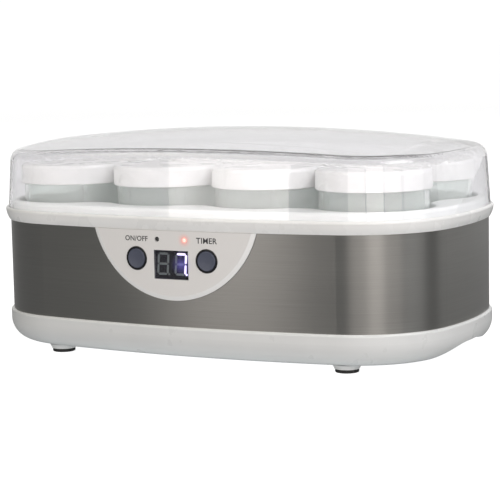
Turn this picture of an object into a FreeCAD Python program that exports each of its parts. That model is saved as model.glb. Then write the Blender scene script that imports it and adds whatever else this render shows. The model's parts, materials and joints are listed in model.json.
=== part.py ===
import FreeCAD, Part
import math
import os

# Eight-jar yogurt maker. Millimetres, +Z up, front faces -Y, origin at the bottom centre.

Vector = FreeCAD.Vector
UP = Vector(0, 0, 1)
ALONG_X = Vector(1, 0, 0)
ALONG_Y = Vector(0, 1, 0)

# ---------------------------------------------------------------- driving dimensions

# Plan outline of the steel band: arcs that meet tangentially.
HALF_LENGTH = 154.5
HALF_DEPTH = 91.0
FRONT_RADIUS = 680.0
END_RADIUS = 192.0
CORNER_RADIUS = 60.0

# Heights of the stack.
SHELL_BOTTOM = 5.0
SHELL_TOP = 25.2
BAND_TOP = 88.0
RIM_BOTTOM = 83.5
RIM_TOP = 91.5
LID_SEAT = 90.2
DECK_TOP = 96.0
FLOOR_BOTTOM = 38.0
FLOOR_TOP = 41.5
JAR_BASE = 40.0
CAP_BOTTOM = 106.7
CAP_TOP = 119.1
LID_CREST = 139.8

# Body walls, as offsets from the outline, positive outwards.
SHEET = 0.6
HOUSING_WALL = 2.0
HOUSING_TUCK = 3.0
SHELL_PROUD = 1.8
SHELL_WALL = 2.3
SHELL_FLOOR = 2.5
SHELL_CURVE = 14.0
SHELL_LIP = 1.5
RIM_PROUD = 2.9
RIM_SLAB = 1.8
CORE = -40.0

# Lid.
LID_WALL = 2.0
LID_FOOT = 1.2
LID_DRAFT = 0.068
LID_CORNER = 7.6
LID_GAP = 0.2
CROWN_ALONG = 1199.0
CROWN_ACROSS = 468.0
CROWN_KNEE = 128.0
CROWN_END = 90.0
CROWN_REACH = 162.0

# Jars and caps.
JAR_PITCH_X = 70.15
JAR_PITCH_Y = 71.4
JAR_COLUMNS = 4
JAR_ROWS = 2
JAR_RADIUS = 33.2
JAR_NECK = 32.8
JAR_WALL = 2.5
JAR_RIM = 116.4
CAP_RADIUS = 35.0
CAP_WALL = 1.4

# Tray.
TRAY_WALL = 2.0
POCKET_RADIUS = 36.2
OPENING_HALF_X = 130.0
OPENING_HALF_Y = 60.0
CUSP_RADIUS = 10.0
SEAT_RADIUS = 34.0
MOUTH_ROUND = 1.6
POST_X = 128.0
POST_Y = 30.0
POST_RADIUS = 4.5

# Feet and grips.
FOOT_X = 99.4
FOOT_Y = 65.2
PAD_RADIUS = 7.2
PAD_HEIGHT = 2.2
BOSS_TOP_RADIUS = 9.0
BOSS_FOOT_RADIUS = 7.6
GRIP_TOP = 12.7
GRIP_FLAT = 18.0
GRIP_RUN = 26.0
GRIP_ROUND = 60.0
GRIP_INNER_X = 136.0

# Control panel, placed by distance along the front of the band and by depth:
# a depth of 0 is the band's face, and a positive depth is outwards.
PANEL_ALONG = -2.5
ITEMS_ALONG = -3.1
PANEL_CENTRE_Z = 98.8
PANEL_RADIUS = 57.7
PANEL_TOP = 83.4
PANEL_FACE = 1.6
PANEL_BEVEL_IN = 2.6
PANEL_BEVEL_DEEP = 0.9
PLUG_RADIUS = 53.3
PLUG_BACK = -3.0
CUTOUT_RADIUS = 53.6
BUTTON_ALONG = 24.1
BUTTON_Z = 66.0
BUTTON_RADIUS = 5.95
BEZEL_INNER = 6.25
BEZEL_OUTER = 7.35
DISPLAY_WIDTH = 23.6
DISPLAY_HEIGHT = 17.6
DISPLAY_Z = 62.8
LED_ALONG = 9.4
LED_Z = 78.1
LED_RADIUS = 1.5
DIGIT_HALF = 3.3
DIGIT_TALL = 6.15
DIGIT_TIP = 0.65
DIGIT_SLANT = 0.08
DIGIT_RAISE = 0.5
LEFT_DIGIT = -5.9
RIGHT_DIGIT = 6.2
POINT_ACROSS = 4.3
BOARD_FRONT = -9.0
BOARD_THICK = 1.6
BOARD_SCREW_ACROSS = 32.0
BOARD_SCREW_Z = 60.0

# Inside.
PLATE_HALF_X = 118.0
PLATE_HALF_Y = 56.0
PLATE_THICK = 1.5
HEATER_RADIUS = 1.5
HEATER_REACH = 100.0
HEATER_PITCH = 15.0
HEATER_RUNS = 6
POWER_BOARD = (48.0, 30.0)
POWER_BOARD_CENTRE = (40.0, 10.0)
POWER_BOARD_Z = 14.0
GLAND_X = 60.0
GLAND_Z = 17.0
GLAND_RADIUS = 5.0
CORD_BORE = 3.3


# ---------------------------------------------------------------- small helpers

def fused(shapes):
    """One solid from overlapping or touching shapes."""
    whole = shapes[0].fuse(list(shapes[1:])).removeSplitter()
    return whole.Solids[0] if len(whole.Solids) == 1 else whole


def save(name, shape):
    """Write one sub-part."""
    shape.exportStep("parts/" + name + ".step")


def rod(radius, start, direction, length):
    """A cylinder from a start point."""
    return Part.makeCylinder(radius, length, start, direction)


def post(x, y, low, high, radius):
    """An upright cylinder."""
    return rod(radius, Vector(x, y, low), UP, high - low)


def block(x, y, low, size_x, size_y, size_z):
    """A box centred on x and y, standing on a height."""
    corner = Vector(x - size_x / 2, y - size_y / 2, low)
    return Part.makeBox(size_x, size_y, size_z, corner)


def section(start, *steps):
    """A closed face in the XZ plane.

    A step of two numbers is a straight run to that point. A step of four numbers is an arc
    through the first point to the second.
    """
    edges = []
    here = Vector(start[0], 0, start[1])
    first = here
    for step in steps:
        end = Vector(step[-2], 0, step[-1])
        if len(step) == 4:
            middle = Vector(step[0], 0, step[1])
            edges.append(Part.Arc(here, middle, end).toShape())
        else:
            edges.append(Part.makeLine(here, end))
        here = end
    edges.append(Part.makeLine(here, first))
    return Part.Face(Part.Wire(edges))


def turned(face, x, y):
    """A solid of revolution about an upright axis; the face's x is the radius."""
    face.translate(Vector(x, y, 0))
    return face.revolve(Vector(x, y, 0), UP, 360)


def mirrored_pairs(x, y):
    """The four places at plus and minus x and y."""
    return [(-x, -y), (x, -y), (-x, y), (x, y)]


# ---------------------------------------------------------------- the rounded outline

def corner_centre():
    """Centre of the corner arc, which touches the end arc and the front arc from inside."""
    end_centre = HALF_LENGTH - END_RADIUS
    front_centre = HALF_DEPTH - FRONT_RADIUS
    to_end = END_RADIUS - CORNER_RADIUS
    to_front = FRONT_RADIUS - CORNER_RADIUS
    apart = math.hypot(end_centre, front_centre)
    along = (to_end ** 2 - to_front ** 2 + apart ** 2) / (2 * apart)
    across = math.sqrt(to_end ** 2 - along ** 2)
    unit_x = -end_centre / apart
    unit_y = front_centre / apart
    return end_centre + along * unit_x - across * unit_y, along * unit_y + across * unit_x


def outline_arcs():
    """Centre, radius, start angle and sweep of the eight arcs, anticlockwise from the right end."""
    corner_x, corner_y = corner_centre()
    end_x = HALF_LENGTH - END_RADIUS
    front_y = HALF_DEPTH - FRONT_RADIUS
    end_half = math.degrees(math.atan2(corner_y, corner_x - end_x))
    corner_end = math.degrees(math.atan2(corner_y - front_y, corner_x))
    turn = corner_end - end_half
    front_sweep = 180 - 2 * corner_end
    return [
        (Vector(end_x, 0, 0), END_RADIUS, -end_half, 2 * end_half),
        (Vector(corner_x, corner_y, 0), CORNER_RADIUS, end_half, turn),
        (Vector(0, front_y, 0), FRONT_RADIUS, corner_end, front_sweep),
        (Vector(-corner_x, corner_y, 0), CORNER_RADIUS, 180 - corner_end, turn),
        (Vector(-end_x, 0, 0), END_RADIUS, 180 - end_half, 2 * end_half),
        (Vector(-corner_x, -corner_y, 0), CORNER_RADIUS, 180 + end_half, turn),
        (Vector(0, -front_y, 0), FRONT_RADIUS, 180 + corner_end, front_sweep),
        (Vector(corner_x, -corner_y, 0), CORNER_RADIUS, 360 - corner_end, turn),
    ]


OUTLINE = outline_arcs()


def ring(face):
    """A closed ring whose section's x is the offset from the outline."""
    pieces = []
    for centre, radius, start, sweep in OUTLINE:
        slice_face = face.copy()
        slice_face.translate(centre + Vector(radius, 0, 0))
        slice_face.rotate(centre, UP, start)
        pieces.append(slice_face.revolve(centre, UP, sweep))
    return fused(pieces)


def plate(offset, low, high):
    """A flat slab with the outline's shape."""
    edges = []
    for centre, radius, start, sweep in OUTLINE:
        circle = Part.Circle(centre + Vector(0, 0, low), UP, radius + offset)
        edges.append(Part.Arc(circle, math.radians(start), math.radians(start + sweep)).toShape())
    return Part.Face(Part.Wire(edges)).extrude(Vector(0, 0, high - low))


def drum(face, low, high):
    """A solid body: a ring whose section starts at the core offset, filled in the middle."""
    return fused([ring(face), plate(CORE, low, high)])


def band_ring(outer, inner, low, high):
    """An upright wall that follows the outline."""
    return ring(section((inner, low), (outer, low), (outer, high), (inner, high)))


# ---------------------------------------------------------------- places on the front

FRONT_AXIS = Vector(0, FRONT_RADIUS - HALF_DEPTH, 0)


def on_front(shape, along):
    """Move a shape made at the middle of the front to a distance along the band."""
    shape.rotate(FRONT_AXIS, UP, math.degrees(along / FRONT_RADIUS))
    return shape


def on_board(shape, across):
    """Move a shape made at the middle of the front to a place on the flat control board."""
    shape.translate(Vector(across, 0, 0))
    return on_front(shape, ITEMS_ALONG)


def front_rod(radius, height, back, face):
    """A round pin at the middle of the front, between two depths."""
    start = Vector(0, -HALF_DEPTH - face, height)
    return rod(radius, start, ALONG_Y, face - back)


def front_block(width, tall, height, back, face):
    """A box at the middle of the front, between two depths."""
    corner = Vector(-width / 2, -HALF_DEPTH - face, height - tall / 2)
    return Part.makeBox(width, face - back, tall, corner)


def curved_slab(back, face, low, high):
    """The front's curved layer between two depths."""
    return band_ring(face, back, low, high).common(block(0, -HALF_DEPTH, low, 160, 30, high - low))


def hanging_segment(radius, top):
    """A thick disc along Y, cut straight at the top."""
    disc = front_rod(radius, PANEL_CENTRE_Z, -20, 20)
    below = block(0, -HALF_DEPTH, top - 2 * radius, 4 * radius, 60, 2 * radius)
    return on_front(disc.common(below), PANEL_ALONG)


# ---------------------------------------------------------------- body

def grip_recess(grow):
    """The space for fingers under one end: a flat top between two slopes, grown for its lining."""
    foot = GRIP_FLAT + GRIP_RUN
    inner = GRIP_INNER_X - grow
    reach = 40
    face = section((-foot, 0), (foot, 0), (foot, SHELL_BOTTOM), (GRIP_FLAT, GRIP_TOP),
                   (-GRIP_FLAT, GRIP_TOP), (-foot, SHELL_BOTTOM))
    face.rotate(Vector(0, 0, 0), UP, 90)
    face.translate(Vector(inner, 0, 0))
    recess = face.extrude(Vector(reach, 0, 0))
    recess = recess.makeFillet(GRIP_ROUND, [edge for edge in recess.Edges if is_grip_bend(edge)])
    if grow:
        recess.translate(Vector(0, 0, grow))
        recess = recess.fuse(block(inner + reach / 2, 0, 0, reach, 2 * foot, SHELL_BOTTOM + grow))
    return recess


def is_grip_bend(edge):
    """True for an edge along X where the recess's flat top meets a slope."""
    box = edge.BoundBox
    return box.ZMin > GRIP_TOP - 0.01 and box.YLength < 0.01


def base_shell():
    """The white lower shell with its floor, foot bosses, screw bosses and grip recesses."""
    bend_x = SHELL_PROUD - SHELL_CURVE
    bend_z = SHELL_BOTTOM + SHELL_CURVE
    reach = SHELL_CURVE * math.sqrt(0.5)
    outer = section(
        (CORE, SHELL_BOTTOM), (bend_x, SHELL_BOTTOM),
        (bend_x + reach, bend_z - reach, SHELL_PROUD, bend_z),
        (SHELL_PROUD, SHELL_TOP - SHELL_LIP),
        (SHELL_PROUD - 0.3 * SHELL_LIP, SHELL_TOP - 0.3 * SHELL_LIP, SHELL_PROUD - SHELL_LIP, SHELL_TOP),
        (CORE, SHELL_TOP))
    inner_bend = SHELL_CURVE - SHELL_WALL
    inner_reach = inner_bend * math.sqrt(0.5)
    wall = SHELL_PROUD - SHELL_WALL
    cavity_floor = SHELL_BOTTOM + SHELL_FLOOR
    cavity = section(
        (CORE, cavity_floor), (bend_x, cavity_floor),
        (bend_x + inner_reach, bend_z - inner_reach + 0.1, wall, bend_z),
        (wall, SHELL_TOP + 1), (CORE, SHELL_TOP + 1))
    hollow = drum(cavity, cavity_floor, SHELL_TOP + 1)
    recesses = [grip_recess(0), grip_recess(0)]
    linings = [grip_recess(SHELL_WALL), grip_recess(SHELL_WALL)]
    recesses[1].rotate(Vector(0, 0, 0), UP, 180)
    linings[1].rotate(Vector(0, 0, 0), UP, 180)
    shell = drum(outer, SHELL_BOTTOM, SHELL_TOP).cut(hollow.cut(linings)).cut(recesses)
    additions = []
    holes = []
    for x, y in mirrored_pairs(FOOT_X, FOOT_Y):
        cone = Part.makeCone(BOSS_FOOT_RADIUS, BOSS_TOP_RADIUS, SHELL_BOTTOM - PAD_HEIGHT,
                             Vector(x, y, PAD_HEIGHT), UP)
        additions += [cone, post(x, y, SHELL_BOTTOM, cavity_floor + 2, 5)]
        holes.append(post(x, y, 0, cavity_floor, 2.5))
    for x, y in mirrored_pairs(POST_X, POST_Y):
        additions.append(post(x, y, cavity_floor - 0.5, 12, 6))
        holes += [post(x, y, 0, 10, 3.6), post(x, y, 9, 13, 1.6)]
    for x, y in power_board_corners():
        additions.append(post(x, y, cavity_floor - 0.5, POWER_BOARD_Z, 3))
        holes.append(post(x, y, cavity_floor + 1, POWER_BOARD_Z + 1, 1.2))
    holes.append(rod(GLAND_RADIUS, Vector(GLAND_X, 70, GLAND_Z), ALONG_Y, 40))
    return fused([shell] + additions).cut(holes)


def inner_housing():
    """The drum that carries the steel band, open behind the panel and ending above the gland."""
    wall = band_ring(-SHEET, -SHEET - HOUSING_WALL, SHELL_TOP - HOUSING_TUCK, LID_SEAT - RIM_SLAB)
    return wall.cut(hanging_segment(CUTOUT_RADIUS, PANEL_TOP))


def steel_band():
    """The brushed sheet round the body."""
    sheet = band_ring(0, -SHEET, SHELL_TOP, BAND_TOP)
    return sheet.cut(hanging_segment(CUTOUT_RADIUS, PANEL_TOP))


def rim_ring():
    """The white bead over the band's top edge, with the groove that the lid stands in."""
    slab = LID_SEAT - RIM_SLAB
    inner = -4.1
    return ring(section(
        (0.05, RIM_BOTTOM), (0.9, RIM_BOTTOM),
        (2.2, 86.2, RIM_PROUD, 89.2), (2.75, 90.9, 2.1, RIM_TOP),
        (1.75, RIM_TOP - 0.05, 1.5, RIM_TOP - 0.4), (1.5, LID_SEAT),
        (inner, LID_SEAT), (inner, slab), (0.05, slab)))


# ---------------------------------------------------------------- tray

def jar_places():
    """Centres of the jars, front row first, from left to right."""
    places = []
    for row in range(JAR_ROWS):
        for column in range(JAR_COLUMNS):
            x = (column - (JAR_COLUMNS - 1) / 2) * JAR_PITCH_X
            y = (row - (JAR_ROWS - 1) / 2) * JAR_PITCH_Y
            places.append((x, y))
    return places


def scalloped_block(grow, low, high):
    """The basin's plan: a rectangle joined to a circle round each jar, its cusps rounded."""
    tall = high - low
    pieces = [block(0, 0, low, 2 * (OPENING_HALF_X + grow), 2 * (OPENING_HALF_Y + grow), tall)]
    for x, y in jar_places():
        pieces.append(post(x, y, low, high, POCKET_RADIUS + grow))
    solid = fused(pieces)
    cusps = [edge for edge in solid.Edges if is_upright(edge)]
    return solid.makeFillet(CUSP_RADIUS - grow, cusps)


def is_upright(edge):
    """True for a straight vertical edge between two faces of the side wall."""
    if not isinstance(edge.Curve, Part.Line) or len(edge.Vertexes) < 2:
        return False
    low, high = [vertex.Point for vertex in edge.Vertexes]
    return abs(low.x - high.x) < 0.01 and abs(low.y - high.y) < 0.01


def jar_tray():
    """The shoulder, deck and scalloped basin in one moulding, with its four screw posts."""
    foot = -1.7
    under = DECK_TOP - TRAY_WALL
    shoulder = drum(section(
        (CORE, LID_SEAT), (foot, LID_SEAT), (foot - 0.25, 93.4),
        (foot - 0.9, 95.35, foot - 2.3, DECK_TOP), (CORE, DECK_TOP)), LID_SEAT, DECK_TOP)
    inside = plate(foot - 2.2, LID_SEAT - 1, under)
    basin = scalloped_block(TRAY_WALL, FLOOR_BOTTOM, under + 1)
    hollow = scalloped_block(0, FLOOR_TOP, DECK_TOP + 5)
    tray = fused([shoulder.cut(inside), basin]).cut(hollow)
    mouth = [edge for edge in tray.Edges if is_mouth(edge, hollow)]
    tray = tray.makeFillet(MOUTH_ROUND, mouth)
    posts = [post(x, y, 12, FLOOR_BOTTOM + 0.5, POST_RADIUS) for x, y in mirrored_pairs(POST_X, POST_Y)]
    holes = [post(x, y, 11, 30, 1.4) for x, y in mirrored_pairs(POST_X, POST_Y)]
    holes += [post(x, y, JAR_BASE, FLOOR_TOP + 1, SEAT_RADIUS) for x, y in jar_places()]
    holes += [post(x, y, FLOOR_BOTTOM - 1, 40.5, 1.2) for x, y in plate_screw_places()]
    return fused([tray] + posts).cut(holes)


def is_mouth(edge, hollow):
    """True for an edge of the basin's opening at the deck's top."""
    box = edge.BoundBox
    level = abs(box.ZMin - DECK_TOP) < 0.01 and abs(box.ZMax - DECK_TOP) < 0.01
    middle = edge.valueAt((edge.FirstParameter + edge.LastParameter) / 2)
    return level and hollow.isInside(middle, 0.05, True)


# ---------------------------------------------------------------- lid

def crown(crest):
    """Everything under a surface that is arched along and across, as one wedge of a barrel.

    Along the lid a wide arc turns at the knee into a tighter arc at each end.
    """
    low = 60.0
    knee_turn = math.asin(CROWN_KNEE / CROWN_ALONG)
    end_x = (CROWN_ALONG - CROWN_END) * math.sin(knee_turn)
    end_z = crest - CROWN_ALONG + (CROWN_ALONG - CROWN_END) * math.cos(knee_turn)
    last_turn = math.asin((CROWN_REACH - end_x) / CROWN_END)
    points = []
    for turn in (knee_turn, (knee_turn + last_turn) / 2, last_turn):
        points.append((end_x + CROWN_END * math.sin(turn), end_z + CROWN_END * math.cos(turn)))
    knee, middle, last = points
    face = section((-CROWN_REACH, low), (CROWN_REACH, low), last, (*middle, *knee),
                   (0, crest, -knee[0], knee[1]), (-middle[0], middle[1], -last[0], last[1]))
    axis = Vector(0, 0, LID_CREST - CROWN_ACROSS)
    face.rotate(axis, ALONG_X, -14)
    return face.revolve(axis, ALONG_X, 28)


def lid_body(inset, low, crest, corner):
    """A drafted body under the crown, with its top corner rounded."""
    high = LID_CREST + 3
    foot = LID_FOOT - inset - (low - LID_SEAT) * LID_DRAFT
    head = LID_FOOT - inset - (high - LID_SEAT) * LID_DRAFT
    walls = drum(section((CORE, low), (foot, low), (head, high), (CORE, high)), low, high)
    body = walls.common(crown(crest))
    rim = [edge for edge in body.Edges if is_lid_corner(edge)]
    return body.makeFillet(corner, rim)


def is_lid_corner(edge):
    """True for an edge where the lid's side wall meets its crown."""
    middle = edge.valueAt((edge.FirstParameter + edge.LastParameter) / 2)
    near_side = abs(middle.x) > HALF_LENGTH - 45 or abs(middle.y) > HALF_DEPTH - 25
    box = edge.BoundBox
    return box.ZMin > 118 and near_side and max(box.XLength, box.YLength) > 5


def lid():
    """The clear lid: one even wall, open underneath."""
    outer = lid_body(0, LID_SEAT + LID_GAP, LID_CREST, LID_CORNER)
    inner = lid_body(LID_WALL, LID_SEAT - 2, LID_CREST - LID_WALL, LID_CORNER - LID_WALL)
    return outer.cut(inner)


# ---------------------------------------------------------------- jars and caps

def jar(x, y):
    """A clear glass jar with a thick base and a neck that narrows inside the cap."""
    inner = JAR_RADIUS - JAR_WALL
    neck_inner = JAR_NECK - JAR_WALL
    shoulder = CAP_BOTTOM + 2.2
    face = section(
        (0, JAR_BASE + 0.6), (22, JAR_BASE + 0.6), (24, JAR_BASE), (JAR_RADIUS - 4, JAR_BASE),
        (JAR_RADIUS - 1.2, JAR_BASE + 1.2, JAR_RADIUS, JAR_BASE + 4), (JAR_RADIUS, shoulder - 2),
        (JAR_RADIUS - 0.15, shoulder - 0.8, JAR_NECK, shoulder), (JAR_NECK, JAR_RIM - 1),
        (JAR_NECK - 0.35, JAR_RIM - 0.3, JAR_NECK - 1.1, JAR_RIM), (neck_inner + 0.5, JAR_RIM),
        (neck_inner, JAR_RIM - 0.6), (neck_inner, shoulder), (inner, shoulder - 1.5),
        (inner, JAR_BASE + 9), (inner - 1.5, JAR_BASE + 5.4, inner - 5, JAR_BASE + 4.2),
        (0, JAR_BASE + 3.6))
    return turned(face, x, y)


def cap(x, y):
    """A plain press-on cap with a soft top edge."""
    inner = CAP_RADIUS - CAP_WALL
    ceiling = CAP_TOP - 2.2
    face = section(
        (inner, CAP_BOTTOM), (CAP_RADIUS - 0.5, CAP_BOTTOM), (CAP_RADIUS, CAP_BOTTOM + 0.5),
        (CAP_RADIUS - 0.15, CAP_TOP - 3), (CAP_RADIUS - 0.95, CAP_TOP - 0.85, CAP_RADIUS - 3.1, CAP_TOP),
        (0, CAP_TOP + 0.4), (0, ceiling), (inner - 1, ceiling), (inner, ceiling - 1))
    return turned(face, x, y)


# ---------------------------------------------------------------- control panel

def control_panel():
    """The pale segment: a bevelled face, a plug through the band, and bosses for the board."""
    face = curved_slab(0.05, PANEL_FACE, 30, PANEL_TOP).common(hanging_segment(PANEL_RADIUS, PANEL_TOP))
    round_edges = [edge for edge in face.Edges if is_panel_border(edge)]
    face = face.makeChamfer(PANEL_BEVEL_DEEP, PANEL_BEVEL_IN, round_edges)
    plug = curved_slab(PLUG_BACK, 0.05, 30, PANEL_TOP)
    plug = plug.common(hanging_segment(PLUG_RADIUS, PANEL_TOP - 0.2))
    bosses = []
    holes = [on_front(front_block(DISPLAY_WIDTH, DISPLAY_HEIGHT, DISPLAY_Z, -5, 5), ITEMS_ALONG)]
    for side in (-1, 1):
        across = side * BOARD_SCREW_ACROSS
        bosses.append(on_board(front_rod(2.5, BOARD_SCREW_Z, BOARD_FRONT, PLUG_BACK + 0.5), across))
        holes.append(on_board(front_rod(1, BOARD_SCREW_Z, BOARD_FRONT - 1, PLUG_BACK + 1), across))
        holes.append(on_front(front_rod(BEZEL_OUTER, BUTTON_Z, -5, 5), ITEMS_ALONG + side * BUTTON_ALONG))
        holes.append(on_front(front_rod(LED_RADIUS, LED_Z, -5, 5), ITEMS_ALONG + side * LED_ALONG))
    return fused([face, plug] + bosses).cut(holes)


def is_panel_border(edge):
    """True for the round outer edge of the panel's front face."""
    middle = edge.valueAt((edge.FirstParameter + edge.LastParameter) / 2)
    depth = math.hypot(middle.x, middle.y - FRONT_AXIS.y) - FRONT_RADIUS
    return abs(depth - PANEL_FACE) < 0.05 and middle.z < PANEL_TOP - 5


def button_bezel(along):
    """The black collar that the button slides in."""
    collar = front_rod(BEZEL_OUTER, BUTTON_Z, PLUG_BACK, 2.0)
    bore = front_rod(BEZEL_INNER, BUTTON_Z, PLUG_BACK - 1, 3)
    edges = [edge for edge in collar.Edges if edge.BoundBox.YMax < -HALF_DEPTH - 1.9]
    return on_front(collar.makeFillet(0.5, edges).cut(bore), along)


def button(along):
    """A round button with a dished face, a flange behind the panel and a stem."""
    face = 2.3
    body = front_rod(BUTTON_RADIUS, BUTTON_Z, -3.4, face)
    front_edges = [edge for edge in body.Edges if edge.BoundBox.YMax < -HALF_DEPTH - face + 0.1]
    body = body.makeFillet(0.5, front_edges)
    dish_radius = 40.0
    dish = Part.makeSphere(dish_radius, Vector(0, -HALF_DEPTH - face - dish_radius + 0.4, BUTTON_Z))
    flange = front_rod(7.0, BUTTON_Z, -4.6, -3.4)
    stem = front_rod(2, BUTTON_Z, -5.0, -4.5)
    return on_front(fused([body.cut(dish), flange, stem]), along)


def display_window():
    """The clear face over the digits."""
    pane = front_block(DISPLAY_WIDTH - 0.1, DISPLAY_HEIGHT - 0.1, DISPLAY_Z, 0.6, 1.5)
    return on_front(pane, ITEMS_ALONG)


def display_module():
    """The black two-digit module on the control board."""
    module = front_block(DISPLAY_WIDTH - 0.4, DISPLAY_HEIGHT - 0.4, DISPLAY_Z, BOARD_FRONT, 0.2)
    return on_front(module, ITEMS_ALONG)


def digit_point(across, z, depth):
    """A point on the module's face, slanted as the digits are."""
    return Vector(across + DIGIT_SLANT * z, -HALF_DEPTH - depth, DISPLAY_Z + DIGIT_RAISE + z)


def segment_bar(length, x, z, upright):
    """One bar of a digit: a thin prism with pointed ends, on the module's face."""
    half = length / 2
    blunt = half - DIGIT_TIP
    outline = [(-half, 0), (-blunt, -DIGIT_TIP), (blunt, -DIGIT_TIP),
               (half, 0), (blunt, DIGIT_TIP), (-blunt, DIGIT_TIP)]
    points = []
    for along, across in outline:
        place = (across, along) if upright else (along, across)
        points.append(digit_point(x + place[0], z + place[1], 0.2))
    return Part.Face(Part.makePolygon(points + points[:1])).extrude(Vector(0, -0.3, 0))


def digit_bars(x):
    """The seven bars of one digit, named as on a seven-segment display."""
    side = DIGIT_TALL / 2
    wide = 2 * DIGIT_HALF - 0.5
    high = DIGIT_TALL - 0.5
    return {
        "a": segment_bar(wide, x, DIGIT_TALL, False),
        "b": segment_bar(high, x + DIGIT_HALF, side, True),
        "c": segment_bar(high, x + DIGIT_HALF, -side, True),
        "d": segment_bar(wide, x, -DIGIT_TALL, False),
        "e": segment_bar(high, x - DIGIT_HALF, -side, True),
        "f": segment_bar(high, x - DIGIT_HALF, side, True),
        "g": segment_bar(wide, x, 0, False),
    }


def decimal_point(x):
    """The dot after a digit."""
    foot = digit_point(x + POINT_ACROSS, -DIGIT_TALL, 0.5)
    return rod(DIGIT_TIP, foot, ALONG_Y, 0.3)


def digits():
    """The lit and the unlit bars: the right digit shows a seven and its point."""
    left = digit_bars(LEFT_DIGIT)
    right = digit_bars(RIGHT_DIGIT)
    lit = [right[name] for name in "abc"] + [decimal_point(RIGHT_DIGIT)]
    unlit = list(left.values()) + [right[name] for name in "defg"] + [decimal_point(LEFT_DIGIT)]
    lit_group = on_front(Part.makeCompound(lit), ITEMS_ALONG)
    unlit_group = on_front(Part.makeCompound(unlit), ITEMS_ALONG)
    return lit_group, unlit_group


def led(along):
    """A small light with a domed nose, just clear of the control board."""
    body = front_rod(LED_RADIUS, LED_Z, BOARD_FRONT + 0.1, 1.2)
    nose = Part.makeSphere(LED_RADIUS, Vector(0, -HALF_DEPTH - 0.6, LED_Z))
    front = front_rod(LED_RADIUS + 1, LED_Z, 0.6, 4)
    return on_front(fused([body.cut(front), nose.common(front)]), along)


# ---------------------------------------------------------------- electronics

def control_board():
    """The upright board behind the panel."""
    board = on_board(front_block(72, 31, 67, BOARD_FRONT - BOARD_THICK, BOARD_FRONT), 0)
    holes = []
    for side in (-1, 1):
        holes.append(on_board(front_rod(1.3, BOARD_SCREW_Z, BOARD_FRONT - 3, 0), side * BOARD_SCREW_ACROSS))
    return board.cut(holes)


def tact_switches():
    """The two switches that the buttons press; each stays clear of its button's stem at rest."""
    body_front = BOARD_FRONT + 1.8
    plunger_front = body_front + 0.7
    switches = []
    for side in (-1, 1):
        base = front_block(6, 6, BUTTON_Z, BOARD_FRONT, body_front)
        plunger = front_rod(1.6, BUTTON_Z, body_front, plunger_front)
        switches.append(on_board(fused([base, plunger]), side * BUTTON_ALONG))
    return Part.makeCompound(switches)


def power_board_corners():
    """Centres of the power board's four screws."""
    middle_x, middle_y = POWER_BOARD_CENTRE
    reach_x = POWER_BOARD[0] - 5
    reach_y = POWER_BOARD[1] - 5
    return [(middle_x + x, middle_y + y) for x, y in mirrored_pairs(reach_x, reach_y)]


def power_board():
    """The flat board on the base."""
    middle_x, middle_y = POWER_BOARD_CENTRE
    board = block(middle_x, middle_y, POWER_BOARD_Z, 2 * POWER_BOARD[0], 2 * POWER_BOARD[1], BOARD_THICK)
    holes = [post(x, y, POWER_BOARD_Z - 1, POWER_BOARD_Z + 3, 1.3) for x, y in power_board_corners()]
    return board.cut(holes)


def board_part(x, y, size_x, size_y, size_z):
    """A box-shaped component on the power board, with softened edges."""
    middle_x, middle_y = POWER_BOARD_CENTRE
    body = block(middle_x + x, middle_y + y, POWER_BOARD_Z + BOARD_THICK, size_x, size_y, size_z)
    return body.makeFillet(0.6, body.Edges)


def transformer():
    """The mains transformer: a core with a wound bobbin across it."""
    core = board_part(-14, 2, 30, 12, 15)
    winding = board_part(-14, 2, 18, 26, 12)
    return fused([core, winding])


def capacitor():
    """The smoothing capacitor, standing up."""
    middle_x, middle_y = POWER_BOARD_CENTRE
    body = post(middle_x + 14, middle_y - 15, POWER_BOARD_Z + BOARD_THICK, 29, 5)
    return body.makeFillet(0.8, body.Edges[:1])


def screw(shaft_radius, head_radius, head_height, length):
    """A pan-head screw that points up, with its head's underside at the origin."""
    head = rod(head_radius, Vector(0, 0, -head_height), UP, head_height)
    outer_edges = [edge for edge in head.Edges if edge.BoundBox.ZMax < 0.01 - head_height]
    head = head.makeFillet(0.4 * head_height, outer_edges)
    slot = block(0, 0, -head_height - 1, 2 * head_radius, 0.8, 1.6)
    cross = block(0, 0, -head_height - 1, 0.8, 2 * head_radius, 1.6)
    recess = fused([slot, cross]).common(post(0, 0, -head_height - 1, 0, 0.6 * head_radius))
    return fused([head.cut(recess), post(0, 0, 0, length, shaft_radius)])


def base_screws():
    """The four screws up through the base into the tray's posts."""
    group = []
    for x, y in mirrored_pairs(POST_X, POST_Y):
        one = screw(1.4, 3.2, 2, 17)
        one.translate(Vector(x, y, 10))
        group.append(one)
    return Part.makeCompound(group)


def board_screws():
    """The power board's four screws and the control board's two."""
    group = []
    for x, y in power_board_corners():
        one = screw(1.2, 2.3, 1.6, 6)
        one.rotate(Vector(0, 0, 0), ALONG_X, 180)
        one.translate(Vector(x, y, POWER_BOARD_Z + BOARD_THICK))
        group.append(one)
    for side in (-1, 1):
        one = screw(1.0, 2.1, 1.4, 7)
        one.rotate(Vector(0, 0, 0), ALONG_X, 90)
        one.translate(Vector(0, BOARD_THICK - BOARD_FRONT - HALF_DEPTH, BOARD_SCREW_Z))
        group.append(on_board(one, side * BOARD_SCREW_ACROSS))
    return Part.makeCompound(group)


# ---------------------------------------------------------------- heater

def plate_screw_places():
    """Screws between the jar seats."""
    return [(-JAR_PITCH_X, 0), (JAR_PITCH_X, 0), (0, -50), (0, 50)]


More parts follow.
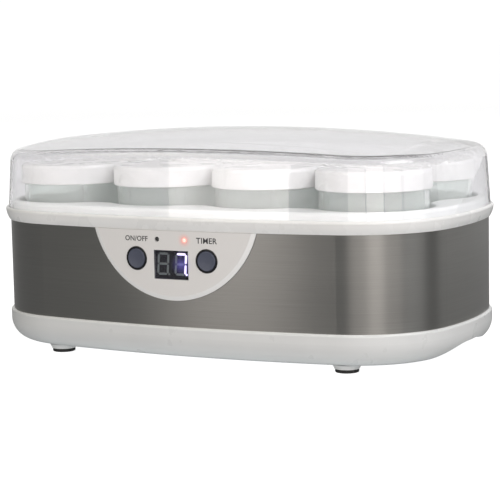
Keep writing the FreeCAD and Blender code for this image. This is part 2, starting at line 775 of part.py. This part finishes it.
def heating_plate():
    """The aluminium plate under the tray's floor."""
    low = FLOOR_BOTTOM - PLATE_THICK
    sheet = block(0, 0, low, 2 * PLATE_HALF_X, 2 * PLATE_HALF_Y, PLATE_THICK)
    corners = [edge for edge in sheet.Edges if is_upright(edge)]
    sheet = sheet.makeFillet(14, corners)
    return sheet.cut([post(x, y, low - 1, FLOOR_BOTTOM + 1, 1.6) for x, y in plate_screw_places()])


def plate_screws():
    """The screws that hold the plate to the tray."""
    group = []
    for x, y in plate_screw_places():
        one = screw(1.2, 2.6, 1.6, 3.8)
        one.translate(Vector(x, y, FLOOR_BOTTOM - PLATE_THICK))
        group.append(one)
    return Part.makeCompound(group)


def heating_element():
    """A round heating cord laid to and fro under the plate."""
    level = FLOOR_BOTTOM - PLATE_THICK - HEATER_RADIUS
    bend = HEATER_PITCH / 2
    pieces = []
    for run in range(HEATER_RUNS):
        y = (run - (HEATER_RUNS - 1) / 2) * HEATER_PITCH
        pieces.append(rod(HEATER_RADIUS, Vector(-HEATER_REACH, y, level), ALONG_X, 2 * HEATER_REACH))
    for turn in range(HEATER_RUNS - 1):
        side = 1 if turn % 2 == 0 else -1
        y = (turn + 1 - (HEATER_RUNS - 1) / 2) * HEATER_PITCH - bend
        loop = Part.makeTorus(bend, HEATER_RADIUS, Vector(side * HEATER_REACH, y, level), UP)
        outer_half = block(side * (HEATER_REACH + 10), y, level - 5, 20, 40, 10)
        pieces.append(loop.common(outer_half))
    return fused(pieces)


def thermal_fuse():
    """The fuse clipped flat against the plate."""
    return rod(2, Vector(14, 0, FLOOR_BOTTOM - PLATE_THICK - 2), ALONG_X, 12)


def temperature_sensor():
    """The bead that reads the plate's temperature."""
    top = FLOOR_BOTTOM - PLATE_THICK
    body = post(-20, 0, top - 5, top, 2.5)
    return body.makeFillet(1, [edge for edge in body.Edges if edge.BoundBox.ZMax < top - 4.9])


# ---------------------------------------------------------------- feet and gland

def rubber_foot(x, y):
    """A black pad with a plug that sits in the foot boss."""
    plug = 2.45
    plug_top = SHELL_BOTTOM + 1.5
    face = section(
        (0, 0), (PAD_RADIUS - 0.8, 0), (PAD_RADIUS - 0.2, 0.2, PAD_RADIUS, 0.8),
        (PAD_RADIUS, PAD_HEIGHT), (plug, PAD_HEIGHT), (plug, plug_top), (0, plug_top))
    return turned(face, x, y)


def cord_gland():
    """The rear grommet that the mains cord would leave through."""
    outside = HALF_DEPTH + 0.4
    start = Vector(GLAND_X, outside - 10, GLAND_Z)
    body = rod(GLAND_RADIUS - 0.05, start, ALONG_Y, 10)
    flange = Part.makeCone(7, 5.6, 2.4, Vector(GLAND_X, outside - 0.6, GLAND_Z), ALONG_Y)
    inner_flange = rod(6.5, start, ALONG_Y, 2)
    bore = rod(CORD_BORE, Vector(GLAND_X, outside - 12, GLAND_Z), ALONG_Y, 20)
    return fused([body, flange, inner_flange]).cut(bore)


# ---------------------------------------------------------------- all parts

def build():
    """Every sub-part by name."""
    parts = {
        "base_shell": base_shell(),
        "inner_housing": inner_housing(),
        "steel_band": steel_band(),
        "rim_ring": rim_ring(),
        "jar_tray": jar_tray(),
        "lid": lid(),
        "control_panel": control_panel(),
        "display_window": display_window(),
        "display_module": display_module(),
        "control_board": control_board(),
        "tact_switches": tact_switches(),
        "power_board": power_board(),
        "transformer": transformer(),
        "relay": board_part(14, 12, 19, 15, 12),
        "mains_terminal": board_part(36, 8, 10, 20, 10),
        "capacitor": capacitor(),
        "heating_plate": heating_plate(),
        "heating_element": heating_element(),
        "plate_screws": plate_screws(),
        "base_screws": base_screws(),
        "board_screws": board_screws(),
        "thermal_fuse": thermal_fuse(),
        "temperature_sensor": temperature_sensor(),
        "cord_gland": cord_gland(),
    }
    parts["digit_lit"], parts["digit_unlit"] = digits()
    for name, side in (("power", -1), ("timer", 1)):
        place = ITEMS_ALONG + side * BUTTON_ALONG
        parts["button_" + name] = button(place)
        parts["button_bezel_" + name] = button_bezel(place)
        parts["led_" + name] = led(ITEMS_ALONG + side * LED_ALONG)
    for number, (x, y) in enumerate(jar_places(), start=1):
        parts["jar_" + str(number)] = jar(x, y)
        parts["cap_" + str(number)] = cap(x, y)
    for number, (x, y) in enumerate(mirrored_pairs(FOOT_X, FOOT_Y), start=1):
        parts["rubber_foot_" + str(number)] = rubber_foot(x, y)
    return parts


os.makedirs("parts", exist_ok=True)
for part_name, part_shape in build().items():
    save(part_name, part_shape)
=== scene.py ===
import json
import math

import bmesh
import bpy
from mathutils import Matrix, Quaternion, Vector


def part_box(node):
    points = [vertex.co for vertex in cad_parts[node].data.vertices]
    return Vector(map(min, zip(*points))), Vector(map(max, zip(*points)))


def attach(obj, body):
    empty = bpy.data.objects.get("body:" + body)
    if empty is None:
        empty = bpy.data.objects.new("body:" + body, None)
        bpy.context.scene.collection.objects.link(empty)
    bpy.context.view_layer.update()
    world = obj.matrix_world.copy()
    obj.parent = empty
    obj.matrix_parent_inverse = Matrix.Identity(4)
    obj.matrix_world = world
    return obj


# Looks for the yogurt maker: materials on the CAD parts, printed labels, the lit display,
# a studio with soft light, and the camera. Metres, +Z up, front faces -Y.

MM = 0.001

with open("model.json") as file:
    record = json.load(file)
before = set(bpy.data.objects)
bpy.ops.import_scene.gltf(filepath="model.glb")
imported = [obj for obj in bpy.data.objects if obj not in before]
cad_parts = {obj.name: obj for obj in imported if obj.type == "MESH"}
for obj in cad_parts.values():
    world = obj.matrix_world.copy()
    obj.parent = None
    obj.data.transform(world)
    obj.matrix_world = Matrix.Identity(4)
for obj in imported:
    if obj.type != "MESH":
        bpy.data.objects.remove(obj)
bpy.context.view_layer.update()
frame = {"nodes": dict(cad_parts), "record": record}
nodes = frame["nodes"]

# ---------------------------------------------------------------- places taken from the frame

FRONT_RADIUS = 680 * MM
PANEL_FACE = 1.6 * MM
PANEL_CENTRE = (-2.5 * MM, 0, 98.8 * MM)
PANEL_BORDER = 55.0 * MM


def centre_of(node):
    """The middle of a CAD part's box."""
    return sum(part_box(node), Vector()) / 2


bezel_left = centre_of("button_bezel_power")
bezel_right = centre_of("button_bezel_timer")
lamp = centre_of("led_timer")
digit = centre_of("digit_lit")
FRONT_AXIS_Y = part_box("steel_band")[0].y + FRONT_RADIUS


def front_place(x, z, proud):
    """A frame on the panel's curved face: x along it, y up, z outwards."""
    turn = math.asin(x / FRONT_RADIUS)
    reach = FRONT_RADIUS + PANEL_FACE + proud
    place = Vector((reach * math.sin(turn), FRONT_AXIS_Y - reach * math.cos(turn), z))
    spin = Quaternion((0, 0, 1), turn) @ Quaternion((1, 0, 0), math.radians(90))
    return Matrix.Translation(place) @ spin.to_matrix().to_4x4()


# ---------------------------------------------------------------- material helpers

class Maker:
    """A material with one Principled shader, and short calls for the nodes that feed it."""

    def __init__(self, name, colour, roughness, metallic=0.0):
        self.material = bpy.data.materials.new(name)
        self.material.use_nodes = True
        self.tree = self.material.node_tree
        self.shader = self.tree.nodes["Principled BSDF"]
        self.output = self.tree.nodes["Material Output"]
        self.set("Base Color", (*colour, 1))
        self.set("Roughness", roughness)
        self.set("Metallic", metallic)

    def set(self, socket, value):
        self.shader.inputs[socket].default_value = value

    def node(self, kind, **settings):
        made = self.tree.nodes.new(kind)
        for name, value in settings.items():
            setattr(made, name, value)
        return made

    def link(self, source, target):
        self.tree.links.new(source, target)

    def place(self, stretch=(1, 1, 1)):
        """The point on the part, in metres, stretched along each axis."""
        where = self.node("ShaderNodeTexCoord")
        scale = self.node("ShaderNodeMapping")
        scale.inputs["Scale"].default_value = stretch
        self.link(where.outputs["Object"], scale.inputs["Vector"])
        return scale.outputs["Vector"]

    def noise(self, scale, stretch=(1, 1, 1), detail=3.0):
        made = self.node("ShaderNodeTexNoise")
        made.inputs["Scale"].default_value = scale
        made.inputs["Detail"].default_value = detail
        self.link(self.place(stretch), made.inputs["Vector"])
        return made.outputs["Fac"]

    def between(self, value, low, high, start=0.3, end=0.7):
        """A number that runs from low to high as the value runs from start to end."""
        made = self.node("ShaderNodeMapRange")
        made.inputs["From Min"].default_value = start
        made.inputs["From Max"].default_value = end
        made.inputs["To Min"].default_value = low
        made.inputs["To Max"].default_value = high
        self.link(value, made.inputs["Value"])
        return made.outputs["Result"]

    def blend(self, value, first, second):
        """A colour between two, by a value from 0 to 1."""
        made = self.node("ShaderNodeMix", data_type="RGBA")
        made.inputs["A"].default_value = (*first, 1)
        made.inputs["B"].default_value = (*second, 1)
        self.link(value, made.inputs["Factor"])
        return made.outputs["Result"]

    def bump(self, height, distance, strength=1.0):
        made = self.node("ShaderNodeBump")
        made.inputs["Distance"].default_value = distance
        made.inputs["Strength"].default_value = strength
        self.link(height, made.inputs["Height"])
        self.link(made.outputs["Normal"], self.shader.inputs["Normal"])

    def light_passes(self, tint=(1, 1, 1)):
        """Lets rays from lamps straight through, so that what is inside is lit."""
        path = self.node("ShaderNodeLightPath")
        clear = self.node("ShaderNodeBsdfTransparent")
        clear.inputs["Color"].default_value = (*tint, 1)
        mixed = self.node("ShaderNodeMixShader")
        self.link(path.outputs["Is Shadow Ray"], mixed.inputs["Fac"])
        self.link(self.shader.outputs["BSDF"], mixed.inputs[1])
        self.link(clear.outputs["BSDF"], mixed.inputs[2])
        self.link(mixed.outputs["Shader"], self.output.inputs["Surface"])


def paint_border_highlight(made, first, second, centre, reach, soft):
    """Colours a part by its distance from a level axis along Y: first inside, second outside; used to
    paint a highlight on the panel's bevelled border.
    """
    where = made.node("ShaderNodeTexCoord")
    flat = made.node("ShaderNodeVectorMath", operation="MULTIPLY")
    flat.inputs[1].default_value = (1, 0, 1)
    made.link(where.outputs["Object"], flat.inputs[0])
    apart = made.node("ShaderNodeVectorMath", operation="DISTANCE")
    apart.inputs[1].default_value = centre
    made.link(flat.outputs["Vector"], apart.inputs[0])
    share = made.between(apart.outputs["Value"], 0, 1, reach - soft, reach + soft)
    made.link(made.blend(share, first, second), made.shader.inputs["Base Color"])


def toned(colour, factor):
    """A colour made lighter or darker."""
    return tuple(min(1.0, part * factor) for part in colour)


def moulded(name, colour, roughness, grain=900, depth=0.02, mottle=0.03, coat=0.0):
    """Moulded plastic, rubber or paint: a fine grain, slight cloudiness and uneven gloss."""
    made = Maker(name, colour, roughness)
    cloud = made.between(made.noise(25), 0, 1)
    made.link(made.blend(cloud, toned(colour, 1 - mottle), toned(colour, 1 + mottle)),
              made.shader.inputs["Base Color"])
    gloss = made.between(made.noise(60, detail=5), roughness * 0.88, roughness * 1.12)
    made.link(gloss, made.shader.inputs["Roughness"])
    made.bump(made.noise(grain, detail=2), depth * MM)
    made.set("Coat Weight", coat)
    made.set("Coat Roughness", 0.12)
    return made


# ---------------------------------------------------------------- materials by slot

def brushed_steel():
    """Stainless sheet brushed along its length: streaks run level round the body."""
    made = Maker("brushed_steel", (0.33, 0.325, 0.31), 0.34, metallic=1.0)
    streak = made.noise(70, stretch=(0.3, 0.3, 60), detail=5)
    broad = made.noise(9, stretch=(1, 1, 4))
    shade = made.blend(made.between(streak, 0, 1, 0.25, 0.75), (0.305, 0.30, 0.287), (0.355, 0.35, 0.335))
    made.link(shade, made.shader.inputs["Base Color"])
    made.link(made.between(broad, 0.31, 0.37), made.shader.inputs["Roughness"])
    made.set("Anisotropic", 0.8)
    made.set("Anisotropic Rotation", 0.25)
    tangent = made.node("ShaderNodeTangent", direction_type="RADIAL", axis="Z")
    made.link(tangent.outputs["Tangent"], made.shader.inputs["Tangent"])
    made.bump(streak, 0.012 * MM, 0.5)
    return made


def screw_steel():
    """Zinc-plated steel with a faint turned grain."""
    made = Maker("screw_steel", (0.62, 0.62, 0.62), 0.3, metallic=1.0)
    made.link(made.between(made.noise(500), 0.22, 0.4), made.shader.inputs["Roughness"])
    made.bump(made.noise(1500), 0.01 * MM)
    return made


def rolled_aluminium():
    """Rolled sheet with long faint streaks."""
    made = Maker("plate_aluminium", (0.78, 0.78, 0.79), 0.35, metallic=1.0)
    streak = made.noise(80, stretch=(0.1, 12, 1))
    made.link(made.between(streak, 0.28, 0.42), made.shader.inputs["Roughness"])
    made.bump(streak, 0.01 * MM)
    return made


def clear_lid():
    """Clear plastic with a faint violet tint, and light scuffs in the gloss."""
    made = Maker("lid_clear", (0.880, 0.875, 0.891), 0.03)
    made.set("Transmission Weight", 0.93)
    made.set("IOR", 1.45)
    scuff = made.noise(70, detail=6)
    made.link(made.between(scuff, 0.015, 0.06, 0.45, 0.75), made.shader.inputs["Roughness"])
    made.bump(made.noise(14, detail=1), 0.04 * MM)
    made.light_passes((0.95, 0.95, 0.96))
    return made


def jar_glass():
    """Pressed glass with a green cast and gently uneven walls."""
    made = Maker("jar_glass", (0.925, 0.975, 0.95), 0.015)
    made.set("Transmission Weight", 0.85)
    made.set("IOR", 1.5)
    made.link(made.between(made.noise(90), 0.01, 0.04), made.shader.inputs["Roughness"])
    made.bump(made.noise(45, detail=1), 0.12 * MM)
    made.light_passes((0.96, 0.98, 0.975))
    return made


def display_pane():
    """The smoked clear face of the display."""
    made = Maker("window_clear", (0.45, 0.45, 0.50), 0.04)
    made.set("Transmission Weight", 1.0)
    made.set("IOR", 1.3)
    made.set("Specular IOR Level", 0.2)
    made.link(made.between(made.noise(200), 0.02, 0.07), made.shader.inputs["Roughness"])
    made.light_passes()
    return made


def lit(name, colour, glow, strength):
    """A lamp behind tinted plastic, its glow a little uneven."""
    made = Maker(name, colour, 0.3)
    made.set("Emission Strength", strength)
    made.link(made.blend(made.between(made.noise(400), 0, 1), glow, toned(glow, 1.15)),
              made.shader.inputs["Emission Color"])
    return made


def circuit_board():
    """Green board with faint copper tracks under the mask."""
    made = Maker("board_green", (0.03, 0.16, 0.07), 0.35)
    tracks = made.node("ShaderNodeTexBrick")
    tracks.inputs["Scale"].default_value = 300
    tracks.inputs["Color1"].default_value = (0.03, 0.16, 0.07, 1)
    tracks.inputs["Color2"].default_value = (0.03, 0.19, 0.08, 1)
    tracks.inputs["Mortar"].default_value = (0.05, 0.27, 0.12, 1)
    made.link(made.place(), tracks.inputs["Vector"])
    made.link(tracks.outputs["Color"], made.shader.inputs["Base Color"])
    made.bump(tracks.outputs["Fac"], 0.03 * MM)
    return made


def panel_plastic():
    """Satin plastic whose bevelled border carries a painted highlight: a lighter colour than its face,
    standing in for the light the bevel catches.
    """
    made = moulded("panel_plastic", (0.84, 0.825, 0.815), 0.38, depth=0.012)
    # painted highlight: past the border reach the colour turns lighter, in place of light caught on the
    # bevel
    paint_border_highlight(made, (0.83, 0.815, 0.805), (0.95, 0.95, 0.95), PANEL_CENTRE, PANEL_BORDER, 0.3 * MM)
    return made


MATERIALS = {
    "white_plastic": moulded("white_plastic", (0.79, 0.80, 0.80), 0.30, depth=0.010, coat=0.2),
    # painted light and shade: the rim and tray colours are copies of the body's white plastic, the rim
    # painted lighter to make up for the little light its bead gets and the tray painted darker against
    # the light it gets through the lid
    "rim_plastic": moulded("rim_plastic", (0.94, 0.94, 0.935), 0.28, depth=0.008, coat=0.2),
    "tray_plastic": moulded("tray_plastic", (0.80, 0.825, 0.815), 0.32, depth=0.010),
    "housing_plastic": moulded("housing_plastic", (0.70, 0.70, 0.68), 0.5),
    "cap_plastic": moulded("cap_plastic", (0.76, 0.765, 0.76), 0.28, depth=0.008, coat=0.15),
    "steel": brushed_steel(),
    "lid_clear": clear_lid(),
    "jar_glass": jar_glass(),
    "panel_plastic": panel_plastic(),
    "bezel_black": moulded("bezel_black", (0.012, 0.012, 0.015), 0.22),
    "button_grey": moulded("button_grey", (0.085, 0.095, 0.135), 0.42),
    "window_clear": display_pane(),
    "module_black": moulded("module_black", (0.006, 0.006, 0.008), 0.6),
    "digit_on": lit("digit_on", (0.75, 0.7, 1.0), (0.62, 0.52, 1.0), 4.0),
    "digit_off": moulded("digit_off", (0.30, 0.34, 0.30), 0.45),
    "led_dark": moulded("led_dark", (0.03, 0.03, 0.03), 0.25),
    "led_red": lit("led_red", (1.0, 0.5, 0.42), (1.0, 0.50, 0.44), 1.1),
    "board_green": circuit_board(),
    "component_black": moulded("component_black", (0.03, 0.03, 0.03), 0.5),
    "transformer_iron": moulded("transformer_iron", (0.25, 0.25, 0.27), 0.45),
    "capacitor_sleeve": moulded("capacitor_sleeve", (0.05, 0.06, 0.22), 0.3),
    "terminal_green": moulded("terminal_green", (0.06, 0.32, 0.14), 0.35),
    "plate_aluminium": rolled_aluminium(),
    "heater_sleeve": moulded("heater_sleeve", (0.70, 0.69, 0.65), 0.6),
    "fuse_body": moulded("fuse_body", (0.85, 0.82, 0.75), 0.3),
    "rubber_black": moulded("rubber_black", (0.018, 0.018, 0.018), 0.65, depth=0.05),
    "screw_steel": screw_steel(),
}


def dress_nodes():
    """Gives each CAD part the material of its slot."""
    for entry in frame["record"]["subparts"]:
        mesh = nodes[entry["node"]].data
        mesh.materials.clear()
        mesh.materials.append(MATERIALS[entry["material_slot"]].material)


# ---------------------------------------------------------------- printed details and painted glow

TYPE_EXTRUDE = 0.02
INK_HEIGHT = 0.02 * MM
LABEL_Z = 78.0 * MM
LAMP_GLOW_RADIUS = 5.2 * MM
LAMP_GLOW_PROUD = 0.1 * MM
DIGIT_GLOW_RADIUS = 8.4 * MM
DIGIT_GLOW_PROUD = 0.2 * MM


def add_piece(name, mesh, made):
    """A new piece on the body."""
    piece = bpy.data.objects.new(name, mesh)
    bpy.context.scene.collection.objects.link(piece)
    mesh.materials.clear()
    mesh.materials.append(made.material)
    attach(piece, "base")
    return piece


def printed_word(name, text, x, z, width):
    """A word in raised ink on the panel."""
    curve = bpy.data.curves.new(name + "_curve", "FONT")
    curve.body = text
    curve.align_x = "CENTER"
    curve.align_y = "CENTER"
    curve.space_character = 1.05
    curve.extrude = TYPE_EXTRUDE
    curve.offset = 0.014
    curve.resolution_u = 4
    maker = bpy.data.objects.new(name + "_maker", curve)
    bpy.context.scene.collection.objects.link(maker)
    bpy.context.view_layer.update()
    mesh = bpy.data.meshes.new_from_object(maker.evaluated_get(bpy.context.evaluated_depsgraph_get()))
    bpy.data.objects.remove(maker)
    span = max(v.co.x for v in mesh.vertices) - min(v.co.x for v in mesh.vertices)
    size = width / span
    thickness = INK_HEIGHT / TYPE_EXTRUDE
    mesh.transform(front_place(x, z, INK_HEIGHT) @ Matrix.Diagonal((size, size, thickness, 1)))
    return add_piece(name, mesh, INK)


def painted_glow_disc(name, centre, radius, proud, made):
    """A thin round disc on the panel that carries painted glow; its rim is clear."""
    rings, sides = 6, 40
    shape = bmesh.new()
    bmesh.ops.create_circle(shape, cap_ends=True, radius=1.0, segments=sides)
    for step in range(1, rings):
        bmesh.ops.inset_region(shape, faces=[max(shape.faces, key=lambda face: face.calc_area())],
                               thickness=1.0 / rings)
    mesh = bpy.data.meshes.new(name)
    shape.to_mesh(mesh)
    shape.free()
    mesh.transform(front_place(centre.x, centre.z, proud) @ Matrix.Diagonal((radius, radius, 1, 1)))
    return add_piece(name, mesh, made)


def glow(name, centre, radius, colour, strength, peak):
    """Painted glow: emission that fades to clear away from a centre."""
    made = Maker(name, colour, 0.5)
    where = made.node("ShaderNodeTexCoord")
    apart = made.node("ShaderNodeVectorMath", operation="DISTANCE")
    apart.inputs[1].default_value = centre
    made.link(where.outputs["Object"], apart.inputs[0])
    fade = made.between(apart.outputs["Value"], 1, 0, 0, radius)
    soft = made.node("ShaderNodeMath", operation="POWER")
    soft.inputs[1].default_value = 2.2
    made.link(fade, soft.inputs[0])
    share = made.between(soft.outputs["Value"], 0, peak, 0, 1)
    light = made.node("ShaderNodeEmission")
    light.inputs["Color"].default_value = (*colour, 1)
    light.inputs["Strength"].default_value = strength
    clear = made.node("ShaderNodeBsdfTransparent")
    mixed = made.node("ShaderNodeMixShader")
    made.link(share, mixed.inputs["Fac"])
    made.link(clear.outputs["BSDF"], mixed.inputs[1])
    made.link(light.outputs["Emission"], mixed.inputs[2])
    made.link(mixed.outputs["Shader"], made.output.inputs["Surface"])
    return made


INK = moulded("ink_grey", (0.035, 0.035, 0.04), 0.5, depth=0.004)


def add_labels():
    """Plain function words over the two buttons."""
    printed_word("label_power", "ON/OFF", bezel_left.x + 0.1 * MM, LABEL_Z, 16.0 * MM)
    printed_word("label_timer", "TIMER", bezel_right.x + 0.2 * MM, LABEL_Z, 13.8 * MM)


def add_glows():
    """Painted glow on the panel: a red halo round the lamp and a blue-violet glow round the lit digit,
    from emitting discs in place of their light.
    """
    lamp_face = front_place(lamp.x, lamp.z, LAMP_GLOW_PROUD).translation
    # painted glow: an emitting disc round the red lamp stands in for its light on the panel
    red = glow("lamp_glow", lamp_face, LAMP_GLOW_RADIUS, (1.0, 0.38, 0.32), 1.0, 0.95)
    painted_glow_disc("lamp_painted_glow", lamp, LAMP_GLOW_RADIUS, LAMP_GLOW_PROUD, red)
    # painted glow: an emitting disc round the lit digit stands in for its light on the panel
    digit_face = front_place(digit.x, digit.z, DIGIT_GLOW_PROUD).translation
    violet = glow("digit_glow", digit_face, DIGIT_GLOW_RADIUS + 0.1 * MM, (0.32, 0.27, 1.0), 0.7, 0.5)
    painted_glow_disc("digit_painted_glow", digit, DIGIT_GLOW_RADIUS, DIGIT_GLOW_PROUD, violet)


# ---------------------------------------------------------------- studio

FLOOR_GLOW = 0.74
CARD_GLOW = 0.6
ROOM_LIGHT = 0.22
STRIP_ELEVATION = 16
STRIP_DISTANCE = 1.8
BOX_ELEVATION = 50
BOX_DISTANCE = 1.9


def studio_paper(name, colour, glow):
    """White paper on a light table: it scatters light and glows a little."""
    made = moulded(name, colour, 0.8, grain=200, depth=0.02, mottle=0.004)
    made.set("Emission Color", (1, 1, 1, 1))
    made.set("Emission Strength", glow)
    return made


def add_floor():
    """A round white floor that curves up into a wall far from the object."""
    flat, bend, top, sides = 3.0, 0.8, 3.2, 64
    profile = [(0.0, 0.0), (0.5, 0.0), (1.5, 0.0), (flat, 0.0)]
    steps = 12
    for step in range(1, steps + 1):
        turn = math.radians(90) * step / steps
        profile.append((flat + bend * math.sin(turn), bend - bend * math.cos(turn)))
    profile.append((flat + bend, top))
    shape = bmesh.new()
    line = [shape.verts.new((reach, 0, height)) for reach, height in profile]
    edges = [shape.edges.new(pair) for pair in zip(line, line[1:])]
    bmesh.ops.spin(shape, geom=line + edges, cent=(0, 0, 0), axis=(0, 0, 1), angle=math.tau, steps=sides)
    bmesh.ops.remove_doubles(shape, verts=shape.verts, dist=0.0001)
    bmesh.ops.recalc_face_normals(shape, faces=shape.faces)
    mesh = bpy.data.meshes.new("studio_floor")
    shape.to_mesh(mesh)
    shape.free()
    mesh.polygons.foreach_set("use_smooth", [True] * len(mesh.polygons))
    floor = bpy.data.objects.new("studio_floor", mesh)
    bpy.context.scene.collection.objects.link(floor)
    mesh.materials.append(studio_paper("studio_paper", (0.93, 0.93, 0.93), FLOOR_GLOW).material)
    floor.visible_glossy = False
    floor.visible_diffuse = False
    floor.visible_shadow = False


def add_back_card():
    """A tall white card behind the object, which its glossy parts mirror."""
    reach, half_turn, tall, steps = 2.6, math.radians(62), 2.2, 30
    shape = bmesh.new()
    low, high = [], []
    for step in range(steps + 1):
        turn = half_turn * (2 * step / steps - 1)
        place = (reach * math.sin(turn), reach * math.cos(turn))
        low.append(shape.verts.new((*place, 0.0)))
        high.append(shape.verts.new((*place, tall)))
    for step in range(steps):
        shape.faces.new((low[step], low[step + 1], high[step + 1], high[step]))
    mesh = bpy.data.meshes.new("studio_card")
    shape.to_mesh(mesh)
    shape.free()
    card = bpy.data.objects.new("studio_card", mesh)
    bpy.context.scene.collection.objects.link(card)
    mesh.materials.append(studio_paper("card_paper", (0.6, 0.6, 0.6), CARD_GLOW).material)
    card.visible_diffuse = False
    card.visible_shadow = False
    card.visible_camera = False


def add_lamp(name, azimuth, elevation, distance, width, height, power, colour=(1, 1, 1)):
    """A soft box that faces the object; azimuth 0 is in front of it and 90 is on its right."""
    turn = math.radians(azimuth)
    tilt = math.radians(elevation)
    way = Vector((math.sin(turn) * math.cos(tilt), -math.cos(turn) * math.cos(tilt), math.sin(tilt)))
    data = bpy.data.lights.new(name, "AREA")
    data.shape = "RECTANGLE"
    data.size = width
    data.size_y = height
    data.energy = power
    data.color = colour
    lamp = bpy.data.objects.new(name, data)
    aim = Vector((0, 0, 0.07))
    lamp.location = aim + way * distance
    lamp.rotation_mode = "QUATERNION"
    lamp.rotation_quaternion = (-way).to_track_quat("-Z", "Y")
    lamp.visible_camera = False
    bpy.context.scene.collection.objects.link(lamp)


def add_world():
    """A dim room round the studio lamps."""
    world = bpy.data.worlds.new("studio_world")
    bpy.context.scene.world = world
    world.use_nodes = True
    background = world.node_tree.nodes["Background"]
    background.inputs["Color"].default_value = (1, 1, 1, 1)
    background.inputs["Strength"].default_value = ROOM_LIGHT


def add_strip(azimuth, width, power, colour=(1, 1, 1)):
    """A tall strip light that stands a little above the object."""
    add_lamp("strip_%d" % azimuth, azimuth, STRIP_ELEVATION, STRIP_DISTANCE, width, 1.0, power, colour)


def add_box(name, azimuth, power, colour=(1, 1, 1)):
    """A soft box held high over one side."""
    add_lamp(name, azimuth, BOX_ELEVATION, BOX_DISTANCE, 1.0, 0.8, power, colour)


def add_lights():
    """Tall strips round the front and right, three high boxes and a light under the table."""
    warm = (1.0, 0.94, 0.90)
    add_strip(-20, 0.6, 5.0, warm)
    add_strip(20, 0.6, 3.3, warm)
    add_strip(40, 0.6, 6.3, warm)
    add_strip(60, 0.6, 2.7, warm)
    add_strip(85, 0.8, 2.3)
    add_box("box_left", -50, 2.4, (1.0, 1.0, 0.7))
    add_box("box_right", 80, 13.0)
    add_lamp("box_back", 180, 60, BOX_DISTANCE, 1.6, 1.0, 1.0)
    add_lamp("table_light", 0, -89, 1.5, 2.5, 2.5, 12.5, (0.93, 0.99, 1.0))


def add_camera():
    """A long lens from the front right, a little above, with a slight roll."""
    data = bpy.data.cameras.new("camera")
    data.sensor_width = 36
    data.lens = 132.0
    camera = bpy.data.objects.new("camera", data)
    bpy.context.scene.collection.objects.link(camera)
    place = Vector((0.5409, -1.0396, 0.2080))
    aim = Vector((0.0025, 0.0, 0.0609))
    roll = math.radians(-1.215)
    camera.location = place
    camera.rotation_mode = "QUATERNION"
    camera.rotation_quaternion = (aim - place).to_track_quat("-Z", "Y") @ Quaternion((0, 0, 1), roll)
    data.clip_start = 0.05
    data.clip_end = 30
    bpy.context.scene.camera = camera


def set_colour_handling():
    """Plain colours, and enough bounces for light to pass the lid and two rows of jars."""
    scene = bpy.context.scene
    scene.view_settings.view_transform = "Standard"
    scene.cycles.transparent_max_bounces = 24
    scene.cycles.transmission_bounces = 16
    scene.cycles.max_bounces = 20


dress_nodes()
add_labels()
add_glows()
add_floor()
add_back_card()
add_world()
add_lights()
add_camera()
set_colour_handling()
